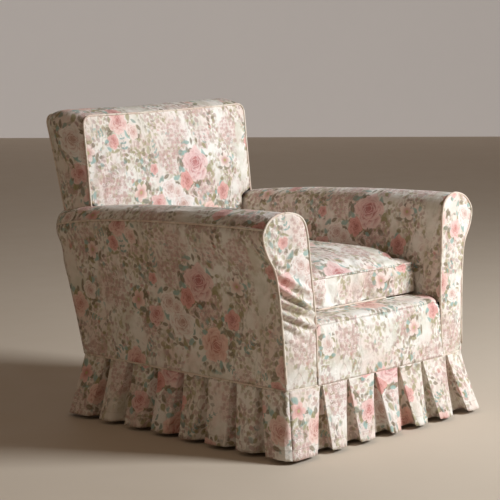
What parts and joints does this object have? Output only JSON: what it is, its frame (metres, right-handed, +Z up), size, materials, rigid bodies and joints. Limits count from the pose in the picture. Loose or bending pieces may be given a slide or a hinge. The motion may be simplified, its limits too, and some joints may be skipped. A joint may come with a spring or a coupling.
{
  "type": "upholstered armchair",
  "caption": "low upholstered armchair with a boxed back, scrolled arms, loose box seat cushion and a pleated skirt, in a fitted loose cover over a sprung timber frame",
  "frame": {"origin": "on the floor, at the middle of the chair's overall plan", "axes": "+Z up; the chair faces -Y; +X is the sitter's left, so the left nodes are on -X as seen from the front"},
  "size_m": [0.8758, 0.972, 0.844],
  "materials": {
    "beech": "planed, unfinished",
    "steel_glide": "nickel plated",
    "plywood": "sanded ply",
    "webbing": "woven jute",
    "spring_steel": "drawn wire",
    "hessian": "open plain weave",
    "cotton_felt": "felted cotton",
    "dust_cloth": "thin non-woven",
    "floral_cotton": "printed floral cotton chintz, soft sheen",
    "piping_cotton": "bias-cut printed cotton over cord",
    "cushion_filling": "cambric-covered feather and foam",
    "zip_tape": "woven tape",
    "zip_brass": "dull brass"
  },
  "bodies": {
    "frame": {"front_post_left": "beech", "front_post_right": "beech", "back_post_left": "beech", "back_post_right": "beech", "front_rail": "beech", "back_rail": "beech", "side_rail_left": "beech", "side_rail_right": "beech", "corner_blocks": "beech", "glides": "steel_glide", "arm_rail_left": "beech", "arm_rail_right": "beech", "arm_tack_rail_left": "beech", "arm_tack_rail_right": "beech", "facing_board_left": "plywood", "facing_board_right": "plywood", "top_rail": "beech", "back_tack_rail": "beech", "seat_webbing": "webbing", "back_webbing": "webbing", "edge_roll": "cotton_felt", "arm_stuffing_left": "cotton_felt", "arm_stuffing_right": "cotton_felt", "back_stuffing": "cotton_felt", "bottom_cloth": "dust_cloth", "cover_inside_arm_left": "floral_cotton", "cover_inside_arm_right": "floral_cotton", "cover_outside_arm_left": "floral_cotton", "cover_outside_arm_right": "floral_cotton", "cover_arm_front_left": "floral_cotton", "cover_arm_front_right": "floral_cotton", "cover_inside_back": "floral_cotton", "cover_back_boxing": "floral_cotton", "cover_outside_back": "floral_cotton", "cover_front_border": "floral_cotton", "cover_seat_lip": "floral_cotton", "arm_piping_left": "piping_cotton", "arm_piping_right": "piping_cotton", "back_piping": "piping_cotton", "skirt_piping": "piping_cotton", "skirt_front": "floral_cotton", "skirt_back": "floral_cotton", "skirt_left": "floral_cotton", "skirt_right": "floral_cotton", "cover_zip_tape": "zip_tape"},
    "seat_deck": {"seat_springs": "spring_steel", "spring_hessian": "hessian", "deck_pad": "cotton_felt", "cover_platform": "floral_cotton"},
    "cushion": {"cushion_core": "cushion_filling", "cushion_top": "floral_cotton", "cushion_bottom": "floral_cotton", "cushion_boxing_strip": "floral_cotton", "cushion_piping": "piping_cotton", "cushion_zip_tape": "zip_tape"},
    "cushion_zip_slider": {"cushion_zip_slider": "zip_brass"},
    "cover_zip_slider": {"cover_zip_slider": "zip_brass"},
    "cover_zip_pull": {"cover_zip_pull": "zip_brass"}
  },
  "joints": [
    {"name": "seat_deck_sink", "type": "slide", "parent": "frame", "child": "seat_deck", "axis": [0, 0, -1], "range_m": [0, 0.04], "stiffness_N_per_m": 15000, "springref_m": -0.02, "deforming": ["seat_springs"]},
    {"name": "cushion_lift", "type": "slide", "parent": "seat_deck", "child": "cushion", "axis": [0, 0, 1], "range_m": [0, 0.3]},
    {"name": "cushion_zip_run", "type": "slide", "parent": "cushion", "child": "cushion_zip_slider", "axis": [-1, 0, 0], "range_m": [0, 0.408]},
    {"name": "cover_zip_run", "type": "slide", "parent": "frame", "child": "cover_zip_slider", "axis": [0, 0.2723, 0.9622], "range_m": [0, 0.375]},
    {"name": "cover_zip_pull_hinge", "type": "hinge", "parent": "cover_zip_slider", "child": "cover_zip_pull", "pos_m": [-0.25, 0.31654, 0.21696], "axis": [1, 0, 0], "range_deg": [0, 130]}
  ]
}
